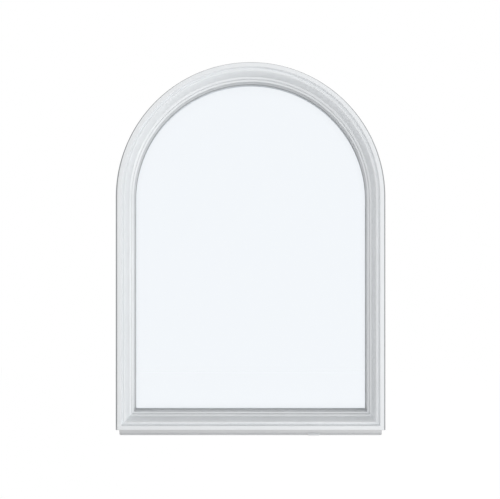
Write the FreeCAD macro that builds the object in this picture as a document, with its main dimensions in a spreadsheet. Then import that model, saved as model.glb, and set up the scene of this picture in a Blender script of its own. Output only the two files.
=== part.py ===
"""Arched top fixed window: mitred casing, frame, glazing beads and a sealed double glass unit."""
import FreeCAD, Part
import math
import os
import Sketcher

doc = FreeCAD.newDocument("arched_top_window")

# Driving dimensions in millimetres, angles in degrees.
# Widths run inwards from the frame box's outer face, depths run back from the casing's front face.
SIZES = {
    # Frame box and the wall that it stands in
    "box_width": 902,
    "box_height": 1257,
    "jamb_depth": 92,
    # Casing: a flat front strip, a leaning step and a lower ledge beside the frame
    "casing_face": 14.2,
    "casing_lean": 1.7,
    "casing_ledge_width": 5.1,
    "casing_step": 10.5,
    "casing_ledge_depth": 11.5,
    "casing_round": 1.5,
    # Wall fin and the tongue that holds it in the frame's kerf
    "fin_thickness": 2,
    "fin_margin": 12.6,
    "fin_tail": 11,
    "tongue_depth": 3.5,
    "tongue_inset": 0.3,
    "kerf_chamfer": 0.5,
    # Nail slots through the fin, behind the casing
    "slot_length": 20,
    "slot_width": 4.5,
    "slot_inset": 10,
    # Frame section: rounded nose, steep flank, sloped stop, glazing rebate, room-side leg
    "nose_land": 1.2,
    "nose_radius": 3.5,
    "flank_angle": 13.5,
    "flank_depth": 27.5,
    "slope_width": 5.2,
    "slope_depth": 5,
    "lip_depth": 7,
    "rebate_wall": 5,
    "leg_overlap": 5,
    "leg_depth": 6,
    "leg_chamfer": 4,
    # Glazing bead
    "bead_gap": 0.6,
    "bead_nose": 2.5,
    "bead_slope_width": 4.7,
    "bead_slope_depth": 4.6,
    "bead_depth": 24,
    # Glass unit, its gasket and its tape
    "gasket_thickness": 3,
    "gasket_bulge": 0.5,
    "pane_thickness": 3,
    "pane_clearance": 3,
    "cavity": 13,
    "edge_seal": 4,
    "spacer_width": 5,
    "tape_thickness": 2,
    # Drip flashing under the sill and the clip over its lip
    "drip_drop": 20,
    "drip_lip": 8,
    "drip_angle": 49,
    "drip_corner": 9,
    "clip_length": 45,
    "clip_overlap": 5.5,
    "clip_thickness": 1.2,
    "clip_from_end": 246,
    # Room left between pieces that slide together
    "fit_gap": 0.2,
}

SLOTS_ON_HEAD = 7
SLOTS_ON_LEG = 4

sheet = doc.addObject("Spreadsheet::Sheet", "Sizes")
for row, (alias, value) in enumerate(SIZES.items(), start=1):
    sheet.set(f"A{row}", alias)
    sheet.set(f"B{row}", str(value))
    sheet.setAlias(f"B{row}", alias)
doc.recompute()


def cells(*names):
    """Expression for the sum of the named cells."""
    return " + ".join(f"Sizes.{name}" for name in names)


def less(expression, *names):
    """Expression for a length less the named cells."""
    return f"{expression} - ({cells(*names)})"


ZERO = "0"

# The flank is a straight run that leaves the nose's arc at a tangent
FLANK_SINE = "sin(Sizes.flank_angle)"
FLANK_START = "Sizes.nose_land + Sizes.nose_radius * cos(Sizes.flank_angle)"
FLANK_DROP = f"(Sizes.flank_depth - Sizes.nose_radius * (1 - {FLANK_SINE}))"

# Places along the width, inwards from the box's outer face
CASING = cells("casing_face", "casing_lean", "casing_ledge_width")
FIN_EDGE = f"{CASING} + Sizes.fin_margin"
FLANK_END = f"{FLANK_START} + {FLANK_DROP} * tan(Sizes.flank_angle)"
SLOPE_END = f"{FLANK_END} + Sizes.slope_width"
BEAD_START = f"{SLOPE_END} + Sizes.bead_gap"
SIGHT_LINE = f"{BEAD_START} + Sizes.bead_slope_width"
GASKET_TIP = f"{SIGHT_LINE} + Sizes.gasket_bulge"
MITRE_REACH = f"{GASKET_TIP} + Sizes.fit_gap"
PANE_EDGE = cells("rebate_wall", "pane_clearance")
SPACER_EDGE = f"{PANE_EDGE} + Sizes.edge_seal"
LEG_EDGE = f"{PANE_EDGE} + Sizes.leg_overlap"

# Places along the depth, back from the casing's front face
LEDGE = "Sizes.casing_step"
FIN_FRONT = f"{LEDGE} + Sizes.casing_ledge_depth"
WALL_PLANE = f"{FIN_FRONT} + Sizes.fin_thickness"
ROOM_EDGE = f"{WALL_PLANE} + Sizes.jamb_depth"
NOSE_CENTRE = f"{LEDGE} + Sizes.nose_radius"
FLANK_FRONT = f"{NOSE_CENTRE} - Sizes.nose_radius * {FLANK_SINE}"
FLANK_BACK = f"{LEDGE} + Sizes.flank_depth"
SLOPE_BACK = f"{FLANK_BACK} + Sizes.slope_depth"
REBATE_FRONT = f"{SLOPE_BACK} + Sizes.lip_depth"
BEAD_FRONT = less(REBATE_FRONT, "bead_nose")
BEAD_BACK = f"{REBATE_FRONT} + Sizes.bead_depth"
OUTER_PANE = f"{BEAD_BACK} + Sizes.gasket_thickness"
SPACER = f"{OUTER_PANE} + Sizes.pane_thickness"
INNER_PANE = f"{SPACER} + Sizes.cavity"
TAPE = f"{INNER_PANE} + Sizes.pane_thickness"
LEG_FRONT = f"{TAPE} + Sizes.tape_thickness"
LEG_SIDE = f"{LEG_FRONT} + Sizes.leg_depth"
LEG_BACK = f"{LEG_SIDE} + Sizes.leg_chamfer"

# The origin is on the underside of the box, midway between the wall plane and the room-side edge
HALF_WIDTH = "Sizes.box_width / 2"
SPRING_LINE = f"Sizes.box_height - {HALF_WIDTH}"
MID_DEPTH = f"{WALL_PLANE} + Sizes.jamb_depth / 2"


def place(depth):
    """Y coordinate of a depth."""
    return f"{depth} - ({MID_DEPTH})"


def left_point(width, depth):
    """Sketch point on a level plane, on the left jamb."""
    return f"{width} - {HALF_WIDTH}", place(depth)


def right_point(width, depth):
    """Sketch point on a level plane, on the right jamb."""
    return f"{HALF_WIDTH} - ({width})", place(depth)


def sill_point(width, depth):
    """Sketch point on the upright plane across the sill."""
    return place(depth), width


def front_point(across, height):
    """Sketch point on the upright plane of the wall."""
    return across, height


def new_body(label):
    body = doc.addObject("PartDesign::Body", label)
    body.Label = label
    return body


def new_sketch(body, role, name, offset=None):
    """Empty sketch on one of the body's own origin planes, moved along its normal by an expression."""
    sketch = body.newObject("Sketcher::SketchObject", f"{body.Label}_{name}")
    plane = next(feature for feature in body.Origin.OriginFeatures if feature.Role == role)
    sketch.AttachmentSupport = [(plane, "")]
    sketch.MapMode = "FlatFace"
    if offset:
        sketch.setExpression("AttachmentOffset.Base.z", offset)
    return sketch


def bind(sketch, constraint, expression):
    index = sketch.addConstraint(constraint)
    sketch.setExpression(f"Constraints[{index}]", expression)


def add_outline(sketch, corners, to_point):
    """Closed outline. A corner is (width, depth) or (width, depth, (radius, centre width, centre depth)).

    The third item rounds the edge that leaves that corner. Every corner is dimensioned from the origin.
    """
    def value(expression):
        return float(sketch.evalExpression(expression))

    def position(width, depth):
        across, along = to_point(width, depth)
        return FreeCAD.Vector(value(across), value(along), 0)

    points = [position(corner[0], corner[1]) for corner in corners]
    edges = []
    for index, corner in enumerate(corners):
        start = points[index]
        end = points[(index + 1) % len(points)]
        if len(corner) == 2:
            edge = sketch.addGeometry(Part.LineSegment(start, end), False)
            edges.append((edge, 1, 2))
            continue
        radius, centre_width, centre_depth = corner[2]
        centre = position(centre_width, centre_depth)
        angles = [math.atan2(point.y - centre.y, point.x - centre.x) for point in (start, end)]
        forwards = (angles[1] - angles[0]) % math.tau < math.pi
        if not forwards:
            angles.reverse()
        circle = Part.Circle(centre, FreeCAD.Vector(0, 0, 1), value(radius))
        edge = sketch.addGeometry(Part.ArcOfCircle(circle, *angles), False)
        edges.append((edge, 1, 2) if forwards else (edge, 2, 1))
        bind(sketch, Sketcher.Constraint("Radius", edge, value(radius)), radius)
    for index, (edge, first, last) in enumerate(edges):
        following = edges[(index + 1) % len(edges)]
        sketch.addConstraint(Sketcher.Constraint("Coincident", edge, last, following[0], following[1]))
    for (edge, first, last), corner, point in zip(edges, corners, points):
        across, along = to_point(corner[0], corner[1])
        bind(sketch, Sketcher.Constraint("DistanceX", -1, 1, edge, first, point.x), across)
        bind(sketch, Sketcher.Constraint("DistanceY", -1, 1, edge, first, point.y), along)


def add_pad(body, sketch, length, reverse=False, symmetric=False):
    pad = body.newObject("PartDesign::Pad", f"{body.Label}_pad")
    pad.Profile = sketch
    pad.setExpression("Length", length)
    pad.Reversed = reverse
    if symmetric:
        pad.SideType = "Symmetric"
    doc.recompute()


def add_cut(body, sketch):
    """Cut the sketch right through the body, both ways, and make sure that it took material away."""
    before = body.Shape.Volume
    cut = body.newObject("PartDesign::Pocket", f"{sketch.Name}_cut")
    cut.Profile = sketch
    cut.Type = "ThroughAll"
    cut.SideType = "Symmetric"
    doc.recompute()
    if body.Shape.Volume >= before:
        raise RuntimeError(f"{sketch.Name} cut nothing away")


def arch(label, section):
    """Half-round member: the section turned over the top about the middle of the spring line."""
    body = new_body(label)
    sketch = new_sketch(body, "XY_Plane", "section", SPRING_LINE)
    add_outline(sketch, section, left_point)
    turn = body.newObject("PartDesign::Revolution", f"{label}_turn")
    turn.Profile = sketch
    turn.ReferenceAxis = (sketch, ["V_Axis"])
    turn.Angle = 180
    doc.recompute()
    return body


def leg(label, section, to_point, tail=ZERO):
    """Straight member from the spring line down to the casing's lower edge, or past it by a tail."""
    body = new_body(label)
    sketch = new_sketch(body, "XY_Plane", "section", SPRING_LINE)
    add_outline(sketch, section, to_point)
    add_pad(body, sketch, f"{SPRING_LINE} + {CASING} + {tail}", reverse=True)
    return body


def side_x(width, side):
    """X coordinate of a width on the left (-1) or right (1) of the window."""
    return f"{side} * ({HALF_WIDTH} - ({width}))"


def mitre_leg(body, side):
    """Take off what lies under the mitre at the foot of a leg."""
    sketch = new_sketch(body, "XZ_Plane", "mitre")
    corner = (side_x(f"-({CASING})", side), f"-({CASING})")
    inner = (side_x(MITRE_REACH, side), MITRE_REACH)
    below = (side_x(MITRE_REACH, side), f"-({CASING})")
    add_outline(sketch, [corner, inner, below], front_point)
    add_cut(body, sketch)


def mitred_sill(label, section):
    """Level member along the foot, mitred at both ends."""
    body = new_body(label)
    sketch = new_sketch(body, "YZ_Plane", "section")
    add_outline(sketch, section, sill_point)
    add_pad(body, sketch, f"Sizes.box_width + 2 * ({CASING})", symmetric=True)
    mitres = new_sketch(body, "XZ_Plane", "mitres")
    for side in (-1, 1):
        corner = (side_x(f"-({CASING})", side), f"-({CASING})")
        inner = (side_x(MITRE_REACH, side), MITRE_REACH)
        above = (side_x(f"-({CASING})", side), MITRE_REACH)
        add_outline(mitres, [corner, inner, above], front_point)
    add_cut(body, mitres)
    return body


def ring(name, section):
    """Four members of one section: an arched head, two legs and a sill, mitred at the lower corners."""
    members = [arch(f"{name}_head", section)]
    for word, side, to_point in (("left", -1, left_point), ("right", 1, right_point)):
        member = leg(f"{name}_{word}", section, to_point)
        mitre_leg(member, side)
        members.append(member)
    members.append(mitred_sill(f"{name}_sill", section))
    return members


def casing_section():
    outer = f"-({CASING})"
    outer_round = f"{outer} + Sizes.casing_round"
    step_head = f"-({cells('casing_lean', 'casing_ledge_width')})"
    step_round = f"{step_head} - Sizes.casing_round"
    step_foot = "-Sizes.casing_ledge_width"
    inner = "-Sizes.fit_gap"
    return [
        (outer, FIN_FRONT),
        (outer, "Sizes.casing_round", ("Sizes.casing_round", outer_round, "Sizes.casing_round")),
        (outer_round, ZERO),
        (step_round, ZERO, ("Sizes.casing_round", step_round, "Sizes.casing_round")),
        (step_head, "Sizes.casing_round"),
        (step_foot, LEDGE),
        (inner, LEDGE),
        (inner, FIN_FRONT),
    ]


def tongue_faces():
    """Front and back of the fin's tongue."""
    return f"{FIN_FRONT} + Sizes.tongue_inset", less(WALL_PLANE, "tongue_inset")


def frame_section():
    outer = ZERO
    kerf_floor = cells("tongue_depth", "fit_gap")
    kerf_front, kerf_back = tongue_faces()
    kerf_lead = f"{kerf_back} + Sizes.kerf_chamfer"
    leg_foot = less(LEG_EDGE, "leg_chamfer")
    return [
        (outer, ROOM_EDGE),
        (outer, kerf_lead),
        ("Sizes.kerf_chamfer", kerf_back),
        (kerf_floor, kerf_back),
        (kerf_floor, kerf_front),
        (outer, kerf_front),
        (outer, LEDGE),
        ("Sizes.nose_land", LEDGE, ("Sizes.nose_radius", "Sizes.nose_land", NOSE_CENTRE)),
        (FLANK_START, FLANK_FRONT),
        (FLANK_END, FLANK_BACK),
        (SLOPE_END, SLOPE_BACK),
        (SLOPE_END, REBATE_FRONT),
        ("Sizes.rebate_wall", REBATE_FRONT),
        ("Sizes.rebate_wall", LEG_FRONT),
        (LEG_EDGE, LEG_FRONT),
        (LEG_EDGE, LEG_SIDE),
        (leg_foot, LEG_BACK),
        (leg_foot, ROOM_EDGE),
    ]


def bead_section():
    foot = cells("rebate_wall", "fit_gap")
    return [
        (BEAD_START, BEAD_FRONT),
        (SIGHT_LINE, f"{BEAD_FRONT} + Sizes.bead_slope_depth"),
        (SIGHT_LINE, BEAD_BACK),
        (foot, BEAD_BACK),
        (foot, REBATE_FRONT),
        (BEAD_START, REBATE_FRONT),
    ]


def gasket_section():
    return [
        (PANE_EDGE, BEAD_BACK),
        (SIGHT_LINE, BEAD_BACK),
        (GASKET_TIP, OUTER_PANE),
        (PANE_EDGE, OUTER_PANE),
    ]


def fin_section():
    outer = f"-({FIN_EDGE})"
    shoulder = "-Sizes.fit_gap"
    tongue_front, tongue_back = tongue_faces()
    return [
        (outer, FIN_FRONT),
        (shoulder, FIN_FRONT),
        (shoulder, tongue_front),
        ("Sizes.tongue_depth", tongue_front),
        ("Sizes.tongue_depth", tongue_back),
        (shoulder, tongue_back),
        (shoulder, WALL_PLANE),
        (outer, WALL_PLANE),
    ]


def nail_slots(body, places):
    """Slots through a fin, each given by its middle and the angle that it turns from upright."""
    sketch = new_sketch(body, "XZ_Plane", "slots")
    for across, height, turn in places:
        corners = []
        for along, beside in ((-1, -1), (1, -1), (1, 1), (-1, 1)):
            up = f"{along} * Sizes.slot_length / 2"
            out = f"{beside} * Sizes.slot_width / 2"
            corners.append((
                f"{across} - ({up}) * sin({turn}) + ({out}) * cos({turn})",
                f"{height} + ({up}) * cos({turn}) + ({out}) * sin({turn})",
            ))
        add_outline(sketch, corners, front_point)
    add_cut(body, sketch)


def fins():
    """Wall fin over the arch and down both jambs.

    The tongue stops at the sill's mitre, and a narrow tail runs on down beside the drip.
    """
    head = arch("fin_head", fin_section())
    slot_line = f"({HALF_WIDTH} + Sizes.slot_inset)"
    turns = [f"{180 * (index + 0.5) / SLOTS_ON_HEAD}" for index in range(SLOTS_ON_HEAD)]
    nail_slots(head, [
        (f"{slot_line} * cos({turn})", f"{SPRING_LINE} + {slot_line} * sin({turn})", turn) for turn in turns
    ])
    members = [head]
    for word, side, to_point in (("left", -1, left_point), ("right", 1, right_point)):
        member = leg(f"fin_{word}", fin_section(), to_point, "Sizes.fin_tail")
        notch = new_sketch(member, "XZ_Plane", "lower_end")
        beside_drip = side_x(f"-({CASING} + Sizes.fit_gap)", side)
        shoulder = side_x("-Sizes.fit_gap", side)
        tongue = side_x("Sizes.tongue_depth", side)
        lowest = f"-({CASING} + Sizes.fin_tail)"
        foot = f"-({CASING})"
        top = "Sizes.tongue_depth"
        add_outline(notch, [
            (beside_drip, lowest), (tongue, lowest), (tongue, top),
            (shoulder, top), (shoulder, foot), (beside_drip, foot),
        ], front_point)
        add_cut(member, notch)
        heights = [f"({SPRING_LINE}) * {(index + 0.5) / SLOTS_ON_LEG}" for index in range(SLOTS_ON_LEG)]
        nail_slots(member, [(side_x("-Sizes.slot_inset", side), height, ZERO) for height in heights])
        members.append(member)
    return members


BEND_HEIGHT = f"-({CASING} + Sizes.drip_drop)"


def lip_point(along, behind):
    """Width and depth of a point of the drip's lip: along it from the bend, and behind its front face."""
    cosine = "cos(Sizes.drip_angle)"
    sine = "sin(Sizes.drip_angle)"
    height = f"{BEND_HEIGHT} - ({along}) * {cosine} - ({behind}) * {sine}"
    depth = f"{FIN_FRONT} - ({along}) * {sine} + ({behind}) * {cosine}"
    return height, depth


def sill_drip():
    """Drip flashing: tongue in the sill's kerf, flat plate down the wall, lip bent outwards."""
    body = new_body("sill_drip")
    sketch = new_sketch(body, "YZ_Plane", "section")
    tongue_front, tongue_back = tongue_faces()
    shoulder = "-Sizes.fit_gap"
    bend_back = f"{BEND_HEIGHT} - Sizes.fin_thickness * tan(Sizes.drip_angle / 2)"
    section = [
        (shoulder, FIN_FRONT),
        (shoulder, tongue_front),
        ("Sizes.tongue_depth", tongue_front),
        ("Sizes.tongue_depth", tongue_back),
        (shoulder, tongue_back),
        (shoulder, WALL_PLANE),
        (bend_back, WALL_PLANE),
        lip_point("Sizes.drip_lip", "Sizes.fin_thickness"),
        lip_point("Sizes.drip_lip", ZERO),
        (BEND_HEIGHT, FIN_FRONT),
    ]
    add_outline(sketch, section, sill_point)
    add_pad(body, sketch, f"Sizes.box_width + 2 * ({CASING})", symmetric=True)

    notches = new_sketch(body, "XZ_Plane", "notches")
    for side in (-1, 1):
        end = side_x(f"-({CASING})", side)
        plate = side_x("Sizes.fit_gap", side)
        tongue = side_x(cells("tongue_depth", "fit_gap"), side)
        foot = f"-({CASING})"
        shoulder_height = "-Sizes.fit_gap"
        top = "Sizes.tongue_depth"
        add_outline(notches, [
            (end, foot), (plate, foot), (plate, shoulder_height),
            (tongue, shoulder_height), (tongue, top), (end, top),
        ], front_point)
    add_cut(body, notches)

    corners = new_sketch(body, "XZ_Plane", "corners")
    lowest = lip_point("Sizes.drip_lip", "Sizes.fin_thickness")[0]
    for side in (-1, 1):
        end = side_x(f"-({CASING})", side)
        inside = side_x(f"Sizes.drip_corner - ({CASING})", side)
        above = f"{lowest} + Sizes.drip_corner"
        add_outline(corners, [
            (end, lowest), (inside, lowest, ("Sizes.drip_corner", inside, above)), (end, above),
        ], front_point)
    add_cut(body, corners)
    return body


def drip_clip():
    """Folded clip that hooks over the drip's lip, right of the middle."""
    body = new_body("drip_clip")
    clip_middle = f"{HALF_WIDTH} + {CASING} - Sizes.clip_from_end"
    sketch = new_sketch(body, "YZ_Plane", "section", clip_middle)
    start = "Sizes.drip_lip - Sizes.clip_overlap"
    lip_end = "Sizes.drip_lip"
    end = cells("drip_lip", "clip_thickness")
    front = "-Sizes.clip_thickness"
    back = cells("fin_thickness", "clip_thickness")
    path = [
        (start, ZERO), (start, front), (end, front), (end, back),
        (start, back), (start, "Sizes.fin_thickness"), (lip_end, "Sizes.fin_thickness"), (lip_end, ZERO),
    ]
    add_outline(sketch, [lip_point(*point) for point in path], sill_point)
    add_pad(body, sketch, "Sizes.clip_length", symmetric=True)
    return body


def light_outline(width):
    """Straight-sided outline with a half-round top, at one width inside the box's outer face."""
    radius = f"({HALF_WIDTH} - ({width}))"
    top = f"{SPRING_LINE} + {radius}"
    return [
        (f"-{radius}", width),
        (radius, width),
        (radius, SPRING_LINE, (radius, ZERO, SPRING_LINE)),
        (ZERO, top, (radius, ZERO, SPRING_LINE)),
        (f"-{radius}", SPRING_LINE),
    ]


def glass_layer(label, front, thickness, edges):
    """Upright layer of the glass unit between one edge line, or two for a hollow ring."""
    body = new_body(label)
    back = place(f"{front} + {thickness}")
    sketch = new_sketch(body, "XZ_Plane", "outline", f"-({back})")
    for edge in edges:
        add_outline(sketch, light_outline(edge), front_point)
    add_pad(body, sketch, thickness)
    return body


def glass_unit():
    spacer_edges = [SPACER_EDGE, f"{SPACER_EDGE} + Sizes.spacer_width"]
    return [
        glass_layer("outer_pane", OUTER_PANE, "Sizes.pane_thickness", [PANE_EDGE]),
        glass_layer("spacer_bar", SPACER, "Sizes.cavity", spacer_edges),
        glass_layer("inner_pane", INNER_PANE, "Sizes.pane_thickness", [PANE_EDGE]),
        glass_layer("glazing_tape", TAPE, "Sizes.tape_thickness", [PANE_EDGE, LEG_EDGE]),
    ]


sub_parts = ring("frame", frame_section()) + ring("casing", casing_section())
sub_parts += ring("bead", bead_section()) + ring("gasket", gasket_section())
sub_parts += fins() + [sill_drip(), drip_clip()] + glass_unit()

doc.recompute()
for item in doc.Objects:
    if "Invalid" in item.State or "Error" in item.State:
        raise RuntimeError(f"{item.Label} failed: {item.State}")
for part in sub_parts:
    if part.Shape.isNull() or not part.Shape.isValid():
        raise RuntimeError(f"{part.Label} has no valid shape")

os.makedirs("parts", exist_ok=True)
for part in sub_parts:
    part.Shape.exportStep(f"parts/{part.Label}.step")
    box = part.Shape.BoundBox
    lengths = f"{box.XLength:.1f} x {box.YLength:.1f} x {box.ZLength:.1f}"
    print(f"{part.Label}: {part.Shape.Volume / 1000:.1f} cm3, {lengths}")
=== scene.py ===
# %% [markdown]
# # A fixed window with an arched head, finished for rendering
#
# The window is a white vinyl frame with a half-round head. A stepped casing runs around
# it, glazing beads hold a sealed glass unit, thin nailing fins stand out behind the casing
# and a folded metal drip hangs under the sill. Its solids come in as a fixed frame, in
# metres and in their places. This lesson gives every surface its finish, adds the pieces
# that are too fine for the solids, and sets up the camera and the light.

# %% Load the frame
import math

import bpy
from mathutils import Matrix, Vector


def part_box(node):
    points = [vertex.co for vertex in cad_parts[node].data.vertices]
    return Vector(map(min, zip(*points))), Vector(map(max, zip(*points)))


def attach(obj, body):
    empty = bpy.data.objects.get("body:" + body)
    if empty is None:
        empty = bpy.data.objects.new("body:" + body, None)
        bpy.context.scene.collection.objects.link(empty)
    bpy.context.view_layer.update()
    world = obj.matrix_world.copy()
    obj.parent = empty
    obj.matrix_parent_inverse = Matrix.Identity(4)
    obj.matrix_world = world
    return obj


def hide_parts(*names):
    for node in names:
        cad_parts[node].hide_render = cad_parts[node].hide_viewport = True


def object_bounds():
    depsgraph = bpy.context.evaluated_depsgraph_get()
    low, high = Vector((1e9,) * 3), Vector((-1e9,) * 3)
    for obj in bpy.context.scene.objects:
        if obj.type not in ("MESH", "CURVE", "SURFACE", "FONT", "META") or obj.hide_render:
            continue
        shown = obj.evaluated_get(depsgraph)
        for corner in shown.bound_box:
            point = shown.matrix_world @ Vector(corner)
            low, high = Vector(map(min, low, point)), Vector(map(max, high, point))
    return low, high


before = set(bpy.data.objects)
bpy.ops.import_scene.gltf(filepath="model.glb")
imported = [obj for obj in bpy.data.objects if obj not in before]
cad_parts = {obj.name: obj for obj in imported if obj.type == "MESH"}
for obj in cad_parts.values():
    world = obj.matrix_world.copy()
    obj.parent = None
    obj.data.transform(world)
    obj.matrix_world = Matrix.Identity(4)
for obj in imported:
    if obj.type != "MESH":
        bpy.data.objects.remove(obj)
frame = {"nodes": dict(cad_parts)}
solid_low, solid_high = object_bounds()
nodes = frame["nodes"]
print("window box in metres", [round(b - a, 4) for a, b in zip(solid_low, solid_high)])

# %% [markdown]
# ## The camera
#
# The window is seen straight on from outside, from close enough that the inner steps of
# the frame show on all four sides at once. The camera could be placed by eye, but the
# casing is known in millimetres and its edges are known in the picture, so the scale of
# the picture at the casing gives the camera's place and its lens with no guessing. The
# lens looks level, so that upright edges stay upright, and a small shift sets the height
# of the window in the frame.

# %% Camera straight in front of the casing
PICTURE_WIDTH_PX = 500
PICTURE_HEIGHT_PX = 499
CASING_LEFT_PX = 117.0
CASING_RIGHT_PX = 384.2
CASING_FOOT_PX = 430.0
EYE_LEVEL_PX = 258.7
CAMERA_DISTANCE = 1.25
SENSOR_WIDTH = 36

casing_low, casing_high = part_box("casing_head")
casing_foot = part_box("casing_sill")[0].z
metres_per_px = (casing_high.x - casing_low.x) / (CASING_RIGHT_PX - CASING_LEFT_PX)
camera_x = (PICTURE_WIDTH_PX / 2 - (CASING_LEFT_PX + CASING_RIGHT_PX) / 2) * metres_per_px
camera_y = casing_low.y - CAMERA_DISTANCE
camera_z = casing_foot + (CASING_FOOT_PX - EYE_LEVEL_PX) * metres_per_px

bpy.ops.object.select_all(action="DESELECT")
bpy.ops.object.camera_add(location=(camera_x, camera_y, camera_z),
                          rotation=(math.radians(90), 0, 0))
camera = bpy.context.object
camera.name = "camera"
camera.data.sensor_width = SENSOR_WIDTH
camera.data.lens = SENSOR_WIDTH * CAMERA_DISTANCE / (PICTURE_WIDTH_PX * metres_per_px)
camera.data.shift_y = (EYE_LEVEL_PX - PICTURE_HEIGHT_PX / 2) / PICTURE_WIDTH_PX
bpy.context.scene.camera = camera
print("camera at", [round(v, 4) for v in camera.location], "lens", round(camera.data.lens, 2))

# %% [markdown]
# ## Small helpers for materials
#
# Colours are written as the hex values that a paint program shows, and one function turns
# them into the linear values that a shader works with. A second function adds a node with
# its settings and its links, so that each material below reads as a short list. Lengths of
# patterns are written in millimetres, as a maker would measure them.

# %% Colour and node helpers
MM = 0.001


def linear(hex_colour):
    values = [int(hex_colour[i:i + 2], 16) / 255 for i in (1, 3, 5)]
    values = [v / 12.92 if v <= 0.04045 else ((v + 0.055) / 1.055) ** 2.4 for v in values]
    return (*values, 1)


def add_node(tree, kind, inputs=None, **settings):
    node = tree.nodes.new(kind)
    for name, value in settings.items():
        setattr(node, name, value)
    for name, value in (inputs or {}).items():
        if isinstance(value, bpy.types.NodeSocket):
            tree.links.new(value, node.inputs[name])
        else:
            node.inputs[name].default_value = value
    return node


def new_material(name):
    material = bpy.data.materials.new(name)
    material.use_nodes = True
    tree = material.node_tree
    return material, tree, tree.nodes["Principled BSDF"]


print("helpers ready, mid grey #808080 is", round(linear("#808080")[0], 3), "linear")

# %% [markdown]
# ## Which way a bar was drawn
#
# A bar of vinyl, rubber or rolled metal is pulled through a die, so all its marks run along
# it and none across. One noise could be stretched along X, Y or Z, but the head is a bar
# that was bent, and its marks follow the arch. So the coordinates are turned first: "up"
# bars stretch along Z, "level" bars along X, and on the "arch" the distance from the centre
# of the half-round replaces X, and the way along the arch replaces Z.

# %% Coordinates that follow a bar
STRETCH = 0.01
SPRING_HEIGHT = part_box("frame_head")[0].z
ARCH_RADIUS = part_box("frame_head")[1].x


def arch_place(tree, place):
    """Distance from the arch's centre and way along the arch, from X, Y and Z."""
    above = add_node(tree, "ShaderNodeMath",
                     {0: place.outputs["Z"], 1: SPRING_HEIGHT}, operation="SUBTRACT")
    across = add_node(tree, "ShaderNodeMath",
                      {0: place.outputs["X"], 1: 2.0}, operation="POWER")
    upward = add_node(tree, "ShaderNodeMath",
                      {0: above.outputs[0], 1: 2.0}, operation="POWER")
    square = add_node(tree, "ShaderNodeMath",
                      {0: across.outputs[0], 1: upward.outputs[0]}, operation="ADD")
    radius = add_node(tree, "ShaderNodeMath", {0: square.outputs[0]}, operation="SQRT")
    angle = add_node(tree, "ShaderNodeMath",
                     {0: place.outputs["X"], 1: above.outputs[0]}, operation="ARCTAN2")
    way = add_node(tree, "ShaderNodeMath",
                   {0: angle.outputs[0], 1: ARCH_RADIUS}, operation="MULTIPLY")
    return radius.outputs[0], way.outputs[0]


def along_bar(tree, run):
    """Coordinates in metres with the length of the bar pressed together."""
    coords = add_node(tree, "ShaderNodeTexCoord")
    place = add_node(tree, "ShaderNodeSeparateXYZ", {0: coords.outputs["Object"]})
    x, y, z = (place.outputs[axis] for axis in "XYZ")
    press = {"up": (1, 1, STRETCH), "level": (STRETCH, 1, 1), "arch": (1, 1, STRETCH)}[run]
    if run == "arch":
        x, z = arch_place(tree, place)
    joined = add_node(tree, "ShaderNodeCombineXYZ", {"X": x, "Y": y, "Z": z})
    pressed = add_node(tree, "ShaderNodeMapping", {"Vector": joined.outputs[0], "Scale": press})
    return coords.outputs["Object"], pressed.outputs[0]


print("arch of radius", round(ARCH_RADIUS, 4), "springs at height", round(SPRING_HEIGHT, 4))

# %% [markdown]
# ## White extruded vinyl
#
# Frame, casing and beads are unplasticised PVC, pushed hot through a steel die and cooled
# in a sizing tool. The eye sees an even, slightly cool white with a satin skin: sharp
# reflections are softened, faint die lines run along each bar, and the skin has a shallow
# ripple where the bar left the sizing tool. Real die lines are a few hundredths of a
# millimetre apart, too fine to show, so they are drawn a millimetre apart here. The three
# runs of a bar differ only in their coordinates, so one function makes all three.

# %% Recipe for extruded vinyl
DIE_LINE_MM = 1.0
DIE_LINE_HEIGHT_MM = 0.006
RIPPLE_MM = 35
RIPPLE_HEIGHT_MM = 0.04
CLOUD_MM = 140
ROUGHNESS_SPREAD = 0.05
VINYL_IOR = 1.53


def extruded_vinyl(name, run, pale, deep, roughness):
    material, tree, shader = new_material(f"{name} {run}")
    plain, pressed = along_bar(tree, run)
    lines = add_node(tree, "ShaderNodeTexNoise",
                     {"Vector": pressed, "Scale": 1 / (DIE_LINE_MM * MM), "Detail": 3.0})
    ripple = add_node(tree, "ShaderNodeTexNoise",
                      {"Vector": plain, "Scale": 1 / (RIPPLE_MM * MM), "Detail": 1.0})
    cloud = add_node(tree, "ShaderNodeTexNoise",
                     {"Vector": plain, "Scale": 1 / (CLOUD_MM * MM), "Detail": 2.0})
    tint = add_node(tree, "ShaderNodeMix",
                    {"Factor": cloud.outputs["Fac"], "A": linear(pale), "B": linear(deep)},
                    data_type="RGBA")
    satin = add_node(tree, "ShaderNodeMapRange",
                     {"Value": lines.outputs["Fac"], "To Min": roughness - ROUGHNESS_SPREAD,
                      "To Max": roughness + ROUGHNESS_SPREAD})
    wave = add_node(tree, "ShaderNodeBump",
                    {"Height": ripple.outputs["Fac"], "Distance": RIPPLE_HEIGHT_MM * MM})
    skin = add_node(tree, "ShaderNodeBump",
                    {"Height": lines.outputs["Fac"], "Distance": DIE_LINE_HEIGHT_MM * MM,
                     "Normal": wave.outputs["Normal"]})
    tree.links.new(tint.outputs["Result"], shader.inputs["Base Color"])
    tree.links.new(satin.outputs["Result"], shader.inputs["Roughness"])
    tree.links.new(skin.outputs["Normal"], shader.inputs["Normal"])
    shader.inputs["IOR"].default_value = VINYL_IOR
    return material


print("die lines", DIE_LINE_MM, "mm apart, ripple", RIPPLE_MM, "mm long")

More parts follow.
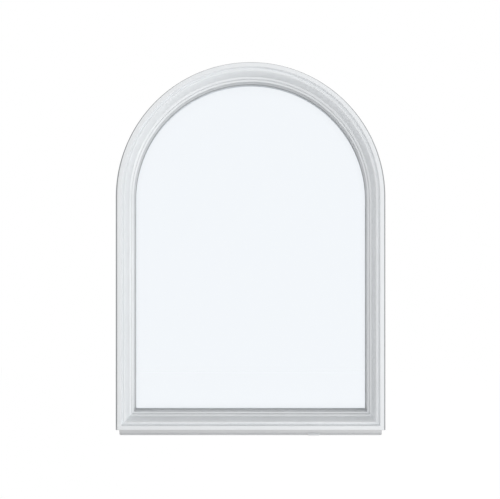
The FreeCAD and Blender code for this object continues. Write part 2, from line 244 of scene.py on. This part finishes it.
# %% White vinyl for the three runs
RUNS = ("up", "level", "arch")
WHITE_VINYL = {"pale": "#F0F2F4", "deep": "#EBEEF0", "roughness": 0.38}
vinyl = {run: extruded_vinyl("extruded white vinyl", run, **WHITE_VINYL) for run in RUNS}
print("made", [material.name for material in vinyl.values()])

# %% [markdown]
# ## Beads with painted shade near the glass
#
# A glazing bead is white vinyl. Behind its sloped front its inner wall lies deep in the
# recess by the glass, in shade, and that shade is painted into its colour here: past a given
# depth the bead turns an even grey, which shows as a grey band around the pane. The bead is one
# solid, so the band is a change of colour at a depth, which is exact on straight bars and on
# the arch alike.

# %% Bead vinyl with painted shade
# Painted shade: past this depth the bead's white is mixed to a grey, for the shade in the recess
# by the glass.
SHADE_BAND_START_MM = 4.9
PAINTED_SHADE_GREY = "#D6D8DA"
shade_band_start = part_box("bead_sill")[0].y + SHADE_BAND_START_MM * MM


# Paints the shade band: behind the given depth the base colour turns to the shade grey.
def add_painted_shade_band(material):
    tree = material.node_tree
    shader = tree.nodes["Principled BSDF"]
    face = shader.inputs["Base Color"].links[0].from_socket
    coords = add_node(tree, "ShaderNodeTexCoord")
    place = add_node(tree, "ShaderNodeSeparateXYZ", {0: coords.outputs["Object"]})
    behind = add_node(tree, "ShaderNodeMath",
                      {0: place.outputs["Y"], 1: shade_band_start}, operation="GREATER_THAN")
    tint = add_node(tree, "ShaderNodeMix",
                    {"Factor": behind.outputs[0], "A": face, "B": linear(PAINTED_SHADE_GREY)},
                    data_type="RGBA")
    tree.links.new(tint.outputs["Result"], shader.inputs["Base Color"])
    return material


bead_vinyl_painted_shade = {run: add_painted_shade_band(extruded_vinyl("bead vinyl with painted shade band", run, **WHITE_VINYL))
              for run in RUNS}
print("made", [material.name for material in bead_vinyl_painted_shade.values()])

# %% [markdown]
# ## Fin vinyl with painted shade
#
# The nailing fin is a softer PVC, duller than the frame. It stands back behind the casing, in
# the shade of its side, and that shade is painted into its colour as a grey well below the
# frame's white. The same recipe fits it, with other colours and a rougher skin.

# %% Fin vinyl with painted shade
# Painted shade: the fin's dark grey stands for the shade behind the casing.
FIN_SHADED_VINYL = {"pale": "#A8AAAC", "deep": "#A1A3A5", "roughness": 0.52}
fin_vinyl_painted_shade = {run: extruded_vinyl("fin vinyl with painted shade", run, **FIN_SHADED_VINYL) for run in RUNS}
print("made", [material.name for material in fin_vinyl_painted_shade.values()])

# %% [markdown]
# ## Glazing gasket
#
# The gasket between bead and glass is extruded rubber, a mid grey that shows as the dark
# line around the glass. Rubber scatters nearly all light, with a soft bloom on its skin, so
# its roughness is high and the bloom is a slow change between two greys. Its index is close
# to that of vinyl, so the same recipe fits.

# %% Extruded rubber
GREY_RUBBER = {"pale": "#858789", "deep": "#7B7D80", "roughness": 0.72}
rubber = {run: extruded_vinyl("extruded grey rubber", run, **GREY_RUBBER) for run in RUNS}
print("made", [material.name for material in rubber.values()])

# %% [markdown]
# ## Coated sheet for the drip
#
# The drip under the sill is aluminium sheet, coated on a coil line and then folded. The
# coating hides the metal: the eye sees a light grey paint with a low satin gloss and the
# fine orange peel of a paint that was rolled on. Orange peel is about half a millimetre
# across, and is drawn at two millimetres so that it shows.

# %% Coil coated aluminium
ORANGE_PEEL_MM = 2.0
ORANGE_PEEL_HEIGHT_MM = 0.01
DRIP_GREYS = ("#D4D5D6", "#CDCECF")
DRIP_ROUGHNESS = (0.34, 0.46)
COIL_PAINT_IOR = 1.5
drip_coat, drip_tree, drip_shader = new_material("coil coated aluminium sheet")
plain, pressed = along_bar(drip_tree, "level")
peel = add_node(drip_tree, "ShaderNodeTexNoise",
                {"Vector": plain, "Scale": 1 / (ORANGE_PEEL_MM * MM), "Detail": 1.0})
rolled = add_node(drip_tree, "ShaderNodeTexNoise",
                  {"Vector": pressed, "Scale": 1 / (ORANGE_PEEL_MM * MM), "Detail": 2.0})
tint = add_node(drip_tree, "ShaderNodeMix",
                {"Factor": rolled.outputs["Fac"], "A": linear(DRIP_GREYS[0]),
                 "B": linear(DRIP_GREYS[1])}, data_type="RGBA")
satin = add_node(drip_tree, "ShaderNodeMapRange",
                 {"Value": rolled.outputs["Fac"], "To Min": DRIP_ROUGHNESS[0],
                  "To Max": DRIP_ROUGHNESS[1]})
skin = add_node(drip_tree, "ShaderNodeBump",
                {"Height": peel.outputs["Fac"], "Distance": ORANGE_PEEL_HEIGHT_MM * MM})
drip_tree.links.new(tint.outputs["Result"], drip_shader.inputs["Base Color"])
drip_tree.links.new(satin.outputs["Result"], drip_shader.inputs["Roughness"])
drip_tree.links.new(skin.outputs["Normal"], drip_shader.inputs["Normal"])
drip_shader.inputs["IOR"].default_value = COIL_PAINT_IOR
print("made", drip_coat.name)

# %% [markdown]
# ## Moulded clip plastic
#
# The little clip on the drip is moulded in one shot from a grey polypropylene, in a mould
# with a fine spark-eroded grain. The grain breaks up the gloss, so the clip looks duller
# and a little lighter than the coated sheet under it.

# %% Moulded polypropylene
MOULD_GRAIN_MM = 0.6
MOULD_GRAIN_HEIGHT_MM = 0.02
CLIP_GREYS = ("#E2E4E5", "#DADCDD")
CLIP_ROUGHNESS = (0.5, 0.62)
POLYPROPYLENE_IOR = 1.49
clip_plastic, clip_tree, clip_shader = new_material("moulded grey polypropylene")
coords = add_node(clip_tree, "ShaderNodeTexCoord")
grain = add_node(clip_tree, "ShaderNodeTexVoronoi",
                 {"Vector": coords.outputs["Object"], "Scale": 1 / (MOULD_GRAIN_MM * MM)})
tint = add_node(clip_tree, "ShaderNodeMix",
                {"Factor": grain.outputs["Distance"], "A": linear(CLIP_GREYS[0]),
                 "B": linear(CLIP_GREYS[1])}, data_type="RGBA")
satin = add_node(clip_tree, "ShaderNodeMapRange",
                 {"Value": grain.outputs["Distance"], "To Min": CLIP_ROUGHNESS[0],
                  "To Max": CLIP_ROUGHNESS[1]})
skin = add_node(clip_tree, "ShaderNodeBump",
                {"Height": grain.outputs["Distance"], "Distance": MOULD_GRAIN_HEIGHT_MM * MM})
clip_tree.links.new(tint.outputs["Result"], clip_shader.inputs["Base Color"])
clip_tree.links.new(satin.outputs["Result"], clip_shader.inputs["Roughness"])
clip_tree.links.new(skin.outputs["Normal"], clip_shader.inputs["Normal"])
clip_shader.inputs["IOR"].default_value = POLYPROPYLENE_IOR
print("made", clip_plastic.name)

# %% [markdown]
# ## The spacer between the panes
#
# A strip of aluminium is roll-formed into a hollow bar, bent to the shape of the glass and
# coated white, so that it all but vanishes beside the white frame. It shows as a narrow band
# when one looks into the glass from the side. Two rows of small slits let the drying beads
# inside reach the air, and a thin grey line of butyl sealant shows along each pane. The
# slits follow the bar around its bends: on the straight runs X and Z count the way, and
# above the spring line the way along the arch does.

# %% Way along the spacer and distance from its middle
spacer_low, spacer_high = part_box("spacer_bar")
spacer_middle = (spacer_low.y + spacer_high.y) / 2
spacer_half = (spacer_high.y - spacer_low.y) / 2

spacer_metal, spacer_tree, spacer_shader = new_material("white coated aluminium with butyl")
coords = add_node(spacer_tree, "ShaderNodeTexCoord")
place = add_node(spacer_tree, "ShaderNodeSeparateXYZ", {0: coords.outputs["Object"]})
side = add_node(spacer_tree, "ShaderNodeMath", {0: place.outputs["X"]}, operation="ABSOLUTE")
straight_way = add_node(spacer_tree, "ShaderNodeMath",
                        {0: side.outputs[0], 1: place.outputs["Z"]}, operation="ADD")
arch_way = arch_place(spacer_tree, place)[1]
on_arch = add_node(spacer_tree, "ShaderNodeMath",
                   {0: place.outputs["Z"], 1: SPRING_HEIGHT}, operation="GREATER_THAN")
way = add_node(spacer_tree, "ShaderNodeMix",
               {"Factor": on_arch.outputs[0], "A": straight_way.outputs[0], "B": arch_way})
across = add_node(spacer_tree, "ShaderNodeMath",
                  {0: place.outputs["Y"], 1: spacer_middle}, operation="SUBTRACT")
off_middle = add_node(spacer_tree, "ShaderNodeMath", {0: across.outputs[0]}, operation="ABSOLUTE")
print("spacer is", round(2 * spacer_half / MM, 1), "mm wide")

# %% Slits and butyl lines of the spacer
SLIT_PITCH_MM = 5.0
SLIT_LENGTH_SHARE = 0.4
SLIT_ROW_MM = 3.0
SLIT_WIDTH_MM = 0.8
BUTYL_LINE_MM = 0.7
step = add_node(spacer_tree, "ShaderNodeMath",
                {0: way.outputs["Result"], 1: 1 / (SLIT_PITCH_MM * MM)}, operation="MULTIPLY")
share = add_node(spacer_tree, "ShaderNodeMath", {0: step.outputs[0]}, operation="FRACT")
in_slit = add_node(spacer_tree, "ShaderNodeMath",
                   {0: share.outputs[0], 1: SLIT_LENGTH_SHARE}, operation="LESS_THAN")
in_row = add_node(spacer_tree, "ShaderNodeMath",
                  {0: off_middle.outputs[0], 1: SLIT_ROW_MM * MM, 2: SLIT_WIDTH_MM * MM / 2},
                  operation="COMPARE")
slit = add_node(spacer_tree, "ShaderNodeMath",
                {0: in_slit.outputs[0], 1: in_row.outputs[0]}, operation="MULTIPLY")
butyl = add_node(spacer_tree, "ShaderNodeMath",
                 {0: off_middle.outputs[0], 1: spacer_half - BUTYL_LINE_MM * MM},
                 operation="GREATER_THAN")
dark = add_node(spacer_tree, "ShaderNodeMath",
                {0: slit.outputs[0], 1: butyl.outputs[0]}, operation="MAXIMUM")
print("slits every", SLIT_PITCH_MM, "mm, butyl lines", BUTYL_LINE_MM, "mm wide")

# %% Coat of the spacer
SPACER_WHITE = "#F2F4F5"
BUTYL_GREY = "#B4B7B9"
COAT_ROUGHNESS = 0.35
BUTYL_ROUGHNESS = 0.7
tint = add_node(spacer_tree, "ShaderNodeMix",
                {"Factor": dark.outputs[0], "A": linear(SPACER_WHITE), "B": linear(BUTYL_GREY)},
                data_type="RGBA")
satin = add_node(spacer_tree, "ShaderNodeMapRange",
                 {"Value": dark.outputs[0], "To Min": COAT_ROUGHNESS, "To Max": BUTYL_ROUGHNESS})
spacer_tree.links.new(tint.outputs["Result"], spacer_shader.inputs["Base Color"])
spacer_tree.links.new(satin.outputs["Result"], spacer_shader.inputs["Roughness"])
print("made", spacer_metal.name)

# %% [markdown]
# ## Glazing tape
#
# The glass unit is bedded against the room-side leg on a strip of closed-cell foam. Cut
# foam shows its cells as tiny pits, so the surface is dull and slightly speckled. The cells
# are a few tenths of a millimetre wide and are drawn at one millimetre.

# %% Closed-cell foam
FOAM_CELL_MM = 1.0
FOAM_PIT_MM = 0.15
FOAM_GREYS = ("#D2D2CE", "#E4E4E0")
FOAM_ROUGHNESS = 0.9
foam, foam_tree, foam_shader = new_material("closed cell foam tape")
coords = add_node(foam_tree, "ShaderNodeTexCoord")
cells = add_node(foam_tree, "ShaderNodeTexVoronoi",
                 {"Vector": coords.outputs["Object"], "Scale": 1 / (FOAM_CELL_MM * MM)})
tint = add_node(foam_tree, "ShaderNodeMix",
                {"Factor": cells.outputs["Distance"], "A": linear(FOAM_GREYS[0]),
                 "B": linear(FOAM_GREYS[1])}, data_type="RGBA")
pits = add_node(foam_tree, "ShaderNodeBump",
                {"Height": cells.outputs["Distance"], "Distance": FOAM_PIT_MM * MM})
foam_tree.links.new(tint.outputs["Result"], foam_shader.inputs["Base Color"])
foam_tree.links.new(pits.outputs["Normal"], foam_shader.inputs["Normal"])
foam_shader.inputs["Roughness"].default_value = FOAM_ROUGHNESS
print("made", foam.name)

# %% [markdown]
# ## Low-reflection float glass
#
# Float glass is drawn off a bath of tin, so both faces are smooth, with only a long, very
# shallow wave. It is nearly colourless, with a trace of blue in this unit. Bare glass has an
# IOR of 1.52 and would mirror the frame along its edges. These panes are clear right up to
# the gasket, as glass with a low-reflection coat is. Such a face reflects less than a third
# as much, and an IOR of 1.25 gives that. A solid glass shader would throw a dark shadow on
# what lies behind it, as path tracing finds no way for a lamp through a bent ray. So rays
# that ask for a lamp meet a plain tinted filter, and all others meet the glass.

# %% Float glass
FLOAT_WAVE_MM = 180
FLOAT_WAVE_HEIGHT_MM = 0.004
GLASS_TINT = linear("#F9FBFD")
COATED_IOR = 1.25
glass, glass_tree, glass_shader = new_material("low reflection float glass")
coords = add_node(glass_tree, "ShaderNodeTexCoord")
wave = add_node(glass_tree, "ShaderNodeTexNoise",
                {"Vector": coords.outputs["Object"], "Scale": 1 / (FLOAT_WAVE_MM * MM),
                 "Detail": 0.0})
face = add_node(glass_tree, "ShaderNodeBump",
                {"Height": wave.outputs["Fac"], "Distance": FLOAT_WAVE_HEIGHT_MM * MM})
glass_tree.links.new(face.outputs["Normal"], glass_shader.inputs["Normal"])
glass_shader.inputs["Base Color"].default_value = GLASS_TINT
glass_shader.inputs["Roughness"].default_value = 0.0
glass_shader.inputs["IOR"].default_value = COATED_IOR
glass_shader.inputs["Transmission Weight"].default_value = 1.0
path = add_node(glass_tree, "ShaderNodeLightPath")
filter_only = add_node(glass_tree, "ShaderNodeBsdfTransparent", {"Color": GLASS_TINT})
pane = add_node(glass_tree, "ShaderNodeMixShader",
                {0: path.outputs["Is Shadow Ray"], 1: glass_shader.outputs[0],
                 2: filter_only.outputs[0]})
glass_tree.links.new(pane.outputs[0], glass_tree.nodes["Material Output"].inputs["Surface"])
print("made", glass.name)

# %% [markdown]
# ## Finishes on the solids
#
# Each solid's name says what it is and where it lies. The first word picks the finish, and
# the last one picks the run of the bar, so one short loop dresses all of them.

# %% Assign the finishes
RUN_OF_SIDE = {"left": "up", "right": "up", "sill": "level", "head": "arch"}
BAR_FINISH = {"frame": vinyl, "casing": vinyl, "bead": bead_vinyl_painted_shade, "gasket": rubber,
              "fin": fin_vinyl_painted_shade}
PIECE_FINISH = {"sill_drip": drip_coat, "drip_clip": clip_plastic, "outer_pane": glass,
                "inner_pane": glass, "spacer_bar": spacer_metal, "glazing_tape": foam}
for name, solid in nodes.items():
    kind, side = name.split("_")
    finish = PIECE_FINISH.get(name) or BAR_FINISH[kind][RUN_OF_SIDE[side]]
    solid.material_slots[0].material = finish
print("finished", len(nodes), "solids")

# %% [markdown]
# ## Helpers for modelling
#
# An operator acts on everything that is selected, so each step starts with nothing
# selected. Faces and points are then picked by a test on their place or their direction.
# A finished piece rides on the window's one body and names the slot of its finish.

# %% Selection and finishing helpers
MERGE_MM = 0.01


def start_edit(piece):
    bpy.ops.object.select_all(action="DESELECT")
    piece.select_set(True)
    bpy.context.view_layer.objects.active = piece
    bpy.ops.object.mode_set(mode="EDIT")
    bpy.ops.mesh.select_all(action="SELECT")


def pick(piece, kind, test):
    """In edit mode, select only the faces, edges or points that pass the test."""
    modes = {"polygons": "FACE", "edges": "EDGE", "vertices": "VERT"}
    bpy.ops.mesh.select_mode(type=modes[kind])
    bpy.ops.mesh.select_all(action="DESELECT")
    bpy.ops.object.mode_set(mode="OBJECT")
    for item in getattr(piece.data, kind):
        item.select = bool(test(item))
    bpy.ops.object.mode_set(mode="EDIT")


def apply_modifier(piece, kind, **settings):
    modifier = piece.modifiers.new(kind.title(), kind)
    for name, value in settings.items():
        setattr(modifier, name, value)
    bpy.ops.object.modifier_apply(modifier=modifier.name)


def finish_piece(piece, finish):
    piece.data.materials.clear()
    piece.data.materials.append(finish)
    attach(piece, "root")
    print(piece.name, len(piece.data.polygons), "faces")


print("modelling helpers ready")

# %% [markdown]
# ## The rounded face of the frame
#
# Beside the casing the face of the bar rises in a small roll, which laps over the joint, and
# from there a slightly bowed flank runs down to the glazing stop. The roll draws a fine line
# along the bar, and the bow gives the flank its soft change of shade. The solids hold the main
# line of this face as a small round and a straight flank, and the last millimetre or so of
# shape is added here as a thin facing on each bar. It could be a curve with a bevel, but its
# section has to stay upright in the mitres and around the arch. So the section is drawn once
# as a closed face, with insets from the side of the frame and depths from the front of the
# casing. The roll is part of a circle, the bow is a parabola, and the back lies inside the bar.

# %% Section of the facing
ROLL_RADIUS_MM = 3.0
ROLL_CROWN_MM = (1.0, 9.0)
ROLL_TURN_DEGREES = (-62, 55)
ROLL_STEPS = 10
FLANK_FOOT_MM = (10.5, 37.8)
FLANK_BOW_MM = 1.2
FLANK_STEPS = 8
FACING_BACK_MM = ((9.0, 37.0), (1.0, 13.0))

facing_section = []
first_turn, last_turn = ROLL_TURN_DEGREES
for i in range(ROLL_STEPS + 1):
    turn = math.radians(first_turn + (last_turn - first_turn) * i / ROLL_STEPS)
    facing_section.append((ROLL_CROWN_MM[0] + ROLL_RADIUS_MM * math.sin(turn),
                           ROLL_CROWN_MM[1] + ROLL_RADIUS_MM * (1 - math.cos(turn))))
roll_end = facing_section[-1]
for i in range(1, FLANK_STEPS + 1):
    share = i / FLANK_STEPS
    bulge = FLANK_BOW_MM * 4 * share * (1 - share)
    facing_section.append((roll_end[0] + (FLANK_FOOT_MM[0] - roll_end[0]) * share + bulge,
                           roll_end[1] + (FLANK_FOOT_MM[1] - roll_end[1]) * share))
facing_section.extend(FACING_BACK_MM)
print("facing section of", len(facing_section), "points")

# %% Helpers for the facings
SMOOTH_DEGREES = 30
corner_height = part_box("casing_sill")[0].z
corner_x = casing_high.x
facings = {}


def facing_face(name, place):
    """Closed face of the section, put in its place by a rule for inset and depth."""
    bpy.ops.object.select_all(action="DESELECT")
    bpy.ops.mesh.primitive_circle_add(vertices=len(facing_section), fill_type="NGON")
    piece = bpy.context.object
    piece.name = name
    for point, (inset, depth) in zip(piece.data.vertices, facing_section):
        point.co = place(inset * MM, solid_low.y + depth * MM)
    facings[name] = piece
    start_edit(piece)
    return piece


def cut_mitre(side, keep):
    """Cut the piece in edit mode along a lower corner's mitre, and close the cut."""
    bpy.ops.mesh.select_all(action="SELECT")
    bpy.ops.mesh.bisect(plane_co=(side * corner_x, 0, corner_height),
                        plane_no=(side * keep, 0, keep), use_fill=True, clear_inner=True)


def finish_facing(piece, run):
    bpy.ops.mesh.select_all(action="SELECT")
    bpy.ops.mesh.remove_doubles(threshold=MERGE_MM * MM)
    bpy.ops.mesh.normals_make_consistent(inside=False)
    bpy.ops.object.mode_set(mode="OBJECT")
    bpy.ops.object.shade_smooth_by_angle(angle=math.radians(SMOOTH_DEGREES))
    finish_piece(piece, vinyl[run])


print("lower corner at", round(corner_x, 4), round(corner_height, 4))

# %% [markdown]
# ## Facings on the four bars
#
# The legs and the sill could be modelled to length, but a bar is cut from stock. So they are
# extruded from the section past the corner and then cut to the mitre, as a saw would do it. The
# head is the same section, spun half a turn about the centre of the arch.

# %% Facings of the legs and the sill
for name, side in (("facing_left", -1), ("facing_right", 1)):
    leg = facing_face(name, lambda inset, y: (side * (ARCH_RADIUS - inset), y, SPRING_HEIGHT))
    bpy.ops.mesh.extrude_region_move(
        TRANSFORM_OT_translate={"value": (0, 0, corner_height - SPRING_HEIGHT)})
    cut_mitre(side, 1)
    finish_facing(leg, "up")

sill = facing_face("facing_sill", lambda inset, y: (-corner_x, y, inset))
bpy.ops.mesh.extrude_region_move(TRANSFORM_OT_translate={"value": (2 * corner_x, 0, 0)})
cut_mitre(-1, -1)
cut_mitre(1, -1)
finish_facing(sill, "level")

# %% Facing of the head
ARCH_STEPS = 96
head = facing_face("facing_head", lambda inset, y: (inset - ARCH_RADIUS, y, SPRING_HEIGHT))
bpy.ops.mesh.spin(steps=ARCH_STEPS, angle=math.pi, center=(0, 0, SPRING_HEIGHT), axis=(0, -1, 0))
finish_facing(head, "arch")

# %% [markdown]
# ## Welded corners
#
# The bars of the frame, with their facings, and of the casing are joined by hot-plate welding:
# the cut ends are melted and pressed together, and the flash is scraped down to a fine raised
# line. The line could be drawn in a material, but it is a real edge that catches light. It
# follows every step of the section, so the easiest way to make it is to take it from the bar
# itself: a copy of the bar is cut off beside the joint, its end face is taken away, and the
# narrow band of skin that is left gets the thickness of the weld. The flat faces at the very
# front and back are scraped flush, so no line is left there.

# %% Helper for one weld line
WELD_WIDTH_MM = 1.2
WELD_HEIGHT_MM = 0.12
SCRAPED_MM = 0.3
END_FACE_COSINE = 0.99
bars = {**nodes, **facings}


def weld_line(name, bar, joint, along, run):
    """Raised band on the skin of one bar, from the joint along it, half the weld wide."""
    bpy.ops.object.select_all(action="DESELECT")
    piece = bpy.data.objects.new(name, bars[bar].data.copy())
    bpy.context.scene.collection.objects.link(piece)
    start_edit(piece)
    bpy.ops.mesh.remove_doubles(threshold=MERGE_MM * MM)
    far_side = joint + along * (WELD_WIDTH_MM / 2 * MM)
    bpy.ops.mesh.bisect(plane_co=far_side, plane_no=along, clear_outer=True)

    def no_weld(face):
        """True for the end, for a facing's buried back and for the scraped front and back."""
        end = abs(face.normal.dot(along)) > END_FACE_COSINE
        buried = bar in facings and face.normal.y > 0
        depths = [piece.data.vertices[i].co.y for i in face.vertices]
        reach = min(min(depths) - solid_low.y, solid_high.y - max(depths))
        return end or buried or reach < SCRAPED_MM * MM

    pick(piece, "polygons", no_weld)
    bpy.ops.mesh.delete(type="FACE")
    bpy.ops.object.mode_set(mode="OBJECT")
    bpy.ops.mesh.customdata_custom_splitnormals_clear()
    apply_modifier(piece, "SOLIDIFY", thickness=WELD_HEIGHT_MM * MM, offset=1.0)
    bpy.ops.object.shade_smooth_by_angle(angle=math.radians(SMOOTH_DEGREES))
    finish_piece(piece, vinyl[run])


print("weld lines are", WELD_WIDTH_MM, "mm wide and", WELD_HEIGHT_MM, "mm high")

# %% Weld lines at the lower corners and at the spring line
for ring in ("frame", "casing", "facing"):
    for side, sign in (("left", -1), ("right", 1)):
        corner = Vector((sign * corner_x, 0, corner_height))
        up_leg = Vector((sign, 0, 1)).normalized()
        weld_line(f"weld_{ring}_{side}_leg", f"{ring}_{side}", corner, up_leg, "up")
        weld_line(f"weld_{ring}_{side}_sill", f"{ring}_sill", corner, -up_leg, "level")
        spring = Vector((sign * corner_x, 0, SPRING_HEIGHT))
        down = Vector((0, 0, -1))
        weld_line(f"weld_{ring}_{side}_spring", f"{ring}_{side}", spring, down, "up")

# %% [markdown]
# ## The clip on the drip
#
# Right of the middle a small moulded clip grips the lip of the drip, where two lengths of
# sheet are kept in line. It is a folded channel with two leaves, so it could be cut from a
# block, but a moulder thinks of it as a wall of even thickness. The channel is therefore
# drawn as a sheet along its inner faces, its free corners are rounded, a low grip pad is
# raised on the front leaf, and the sheet then gets its thickness and soft edges. It is
# modelled upright and tilted last, to lie along the lip.

# %% Channel of the clip as a sheet
LIP_THICKNESS = 2.0 * MM
CLIP_WALL = 1.2 * MM
CLIP_OVERLAP = 5.5 * MM
clip_low, clip_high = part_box("drip_clip")
clip_middle = (clip_low + clip_high) / 2
clip_length = clip_high.x - clip_low.x
channel_floor = CLIP_WALL - (CLIP_OVERLAP + CLIP_WALL) / 2

bpy.ops.object.select_all(action="DESELECT")
bpy.ops.mesh.primitive_plane_add(size=1, location=clip_middle)
clip = bpy.context.object
clip.name = "moulded_clip"
clip.scale = (clip_length, LIP_THICKNESS, 1)
bpy.ops.object.transform_apply(location=False, rotation=False, scale=True)
start_edit(clip)
bpy.ops.transform.translate(value=(0, 0, channel_floor))
for side in (-1, 1):
    edge_y = side * LIP_THICKNESS / 2
    pick(clip, "edges", lambda edge: all(
        abs(clip.data.vertices[i].co.y - edge_y) < MERGE_MM * MM
        and clip.data.vertices[i].co.z < channel_floor + MERGE_MM * MM for i in edge.vertices))
    bpy.ops.mesh.extrude_edges_move(
        TRANSFORM_OT_translate={"value": (0, 0, CLIP_OVERLAP)})
clip.update_from_editmode()
print("channel has", len(clip.data.polygons), "walls")

# %% Tapered ends, rounded corners and the grip pad
CLIP_TAPER = 3.0 * MM
CLIP_CORNER = 1.5 * MM
CORNER_SEGMENTS = 4
PAD_INSET = 1.3 * MM
PAD_HEIGHT = 0.3 * MM
pick(clip, "vertices", lambda point: point.co.z < channel_floor + MERGE_MM * MM)
bpy.ops.transform.resize(value=(1 - 2 * CLIP_TAPER / clip_length, 1, 1),
                         center_override=clip_middle)
pick(clip, "vertices", lambda point: point.co.z > 0)
bpy.ops.mesh.bevel(offset=CLIP_CORNER, segments=CORNER_SEGMENTS, affect="VERTICES")
pick(clip, "polygons", lambda face: face.center.y < -LIP_THICKNESS / 4)
bpy.ops.mesh.inset(thickness=PAD_INSET)
bpy.ops.transform.translate(value=(0, -PAD_HEIGHT, 0))
bpy.ops.mesh.select_all(action="SELECT")
bpy.ops.mesh.normals_make_consistent(inside=False)
bpy.ops.object.mode_set(mode="OBJECT")
print("clip sheet has", len(clip.data.vertices), "points")

# %% Thickness, soft edges and the tilt of the lip
LIP_TILT_DEGREES = 49
CLIP_EDGE_ROUND = 0.35 * MM
EDGE_SEGMENTS = 3
EDGE_DEGREES = 40
CLIP_SMOOTH_DEGREES = 35
apply_modifier(clip, "SOLIDIFY", thickness=CLIP_WALL, offset=1.0, use_even_offset=True)
apply_modifier(clip, "BEVEL", width=CLIP_EDGE_ROUND, segments=EDGE_SEGMENTS,
               limit_method="ANGLE", angle_limit=math.radians(EDGE_DEGREES))
clip.rotation_euler.x = -math.radians(LIP_TILT_DEGREES)
bpy.ops.object.transform_apply(location=True, rotation=True, scale=True)
bpy.ops.object.shade_smooth_by_angle(angle=math.radians(CLIP_SMOOTH_DEGREES))
finish_piece(clip, clip_plastic)
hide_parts("drip_clip")

# %% [markdown]
# ## Floor
#
# The window hangs in the air as it will hang in a wall, with a pale floor well below it. A
# floor that is bright enough to look white would throw too much light up at the window. So
# the floor is an ordinary pale paint for the light that falls on it, and where it is looked
# at, directly, through the glass or in a reflection, most of its colour is plain white. A
# share of its own shading stays in view, and with it the shadow of the window.

# %% Which rays look at a surface
def seen_directly(tree):
    """1 for rays from the camera, through glass and off gloss, and 0 for light."""
    path = add_node(tree, "ShaderNodeLightPath")
    seen = add_node(tree, "ShaderNodeMath",
                    {0: path.outputs["Is Camera Ray"], 1: path.outputs["Is Transmission Ray"]},
                    operation="MAXIMUM")
    seen = add_node(tree, "ShaderNodeMath",
                    {0: seen.outputs[0], 1: path.outputs["Is Glossy Ray"]}, operation="MAXIMUM")
    return seen.outputs[0]


print("floor and world can tell a look from light")

# %% Pale studio floor
FLOOR_DROP = 0.9
FLOOR_SIZE = 7
bpy.ops.object.select_all(action="DESELECT")
bpy.ops.mesh.primitive_plane_add(size=FLOOR_SIZE, location=(0, 0, solid_low.z - FLOOR_DROP))
floor = bpy.context.object
floor.name = "floor"
bpy.ops.object.transform_apply(location=True, rotation=True, scale=True)
print("floor at height", round(solid_low.z - FLOOR_DROP, 3))

# %% Floor paint
FLOOR_COLOUR = "#F4F4F4"
FLOOR_ROUGHNESS = 0.9
FLOOR_WHITE_SHARE = 0.85
FLOOR_WHITE = 1.08
floor_paint, floor_tree, floor_shader = new_material("pale studio floor")
floor_shader.inputs["Base Color"].default_value = linear(FLOOR_COLOUR)
floor_shader.inputs["Roughness"].default_value = FLOOR_ROUGHNESS
floor_shader.inputs["Specular IOR Level"].default_value = 0.0
share = add_node(floor_tree, "ShaderNodeMath",
                 {0: seen_directly(floor_tree), 1: FLOOR_WHITE_SHARE}, operation="MULTIPLY")
white = add_node(floor_tree, "ShaderNodeEmission",
                 {"Color": (1, 1, 1, 1), "Strength": FLOOR_WHITE})
mix = add_node(floor_tree, "ShaderNodeMixShader",
               {0: share.outputs[0], 1: floor_shader.outputs[0], 2: white.outputs[0]})
floor_tree.links.new(mix.outputs[0], floor_tree.nodes["Material Output"].inputs["Surface"])
floor.data.materials.append(floor_paint)
print("made", floor_paint.name)

# %% [markdown]
# ## World
#
# The world stands for the white walls of a studio. It is plain white where it is looked at,
# so the picture has a white ground and the glass shows it. For the light that it gives it
# is weaker and leans: more comes from below, where the pale floor sends light back, and less
# from above. That difference is what shapes the steps of the frame. A lean is a constant
# and a direction, so one dot product draws it.

# %% White studio world
WORLD_LEVEL = 0.9
WORLD_LEAN = (0.02, 0.0, -0.46)
world = bpy.data.worlds.new("studio white")
bpy.context.scene.world = world
world.use_nodes = True
world_tree = world.node_tree
direction = add_node(world_tree, "ShaderNodeTexCoord")
lean = add_node(world_tree, "ShaderNodeVectorMath",
                {0: direction.outputs["Generated"], 1: WORLD_LEAN}, operation="DOT_PRODUCT")
strength = add_node(world_tree, "ShaderNodeMath",
                    {0: lean.outputs["Value"], 1: WORLD_LEVEL}, operation="ADD")
ambient = world_tree.nodes["Background"]
ambient.inputs["Color"].default_value = (1, 1, 1, 1)
world_tree.links.new(strength.outputs[0], ambient.inputs["Strength"])
white = add_node(world_tree, "ShaderNodeBackground", {"Color": (1, 1, 1, 1), "Strength": 1.0})
mix = add_node(world_tree, "ShaderNodeMixShader",
               {0: seen_directly(world_tree), 1: ambient.outputs[0], 2: white.outputs[0]})
world_tree.links.new(mix.outputs[0], world_tree.nodes["World Output"].inputs["Surface"])
print("world gives light at level", WORLD_LEVEL, "leaning by", WORLD_LEAN)

# %% [markdown]
# ## Softboxes
#
# Two square softboxes light the front. One stands at the right and brightens every step that
# faces it, with a soft glint on the rounded edges. One stands low in front and opens up the
# underside of the head. The flat panes would mirror the low one as a white square, so it is
# kept out of reflections, as a photographer would flag it.

# %% Two softboxes
SOFTBOX_SIZE = 1.8


def add_softbox(name, place, power, mirrored):
    bpy.ops.object.light_add(type="AREA", location=place)
    box = bpy.context.object
    box.name = name
    box.data.shape = "SQUARE"
    box.data.size = SOFTBOX_SIZE
    box.data.energy = power
    box.visible_glossy = mirrored
    box.visible_transmission = mirrored
    aim = box.location - solid_low.lerp(solid_high, 0.5)
    box.rotation_euler = aim.to_track_quat("Z", "Y").to_euler()
    print(name, power, "W at", place)


add_softbox("softbox_right", place=(4.4, -1.2, 0.2), power=38, mirrored=True)
add_softbox("softbox_low", place=(1.0, -2.6, -0.4), power=17, mirrored=False)

# %% [markdown]
# ## Last settings
#
# A plain view transform shows each colour as it was written.

bpy.context.scene.view_settings.view_transform = "Standard"
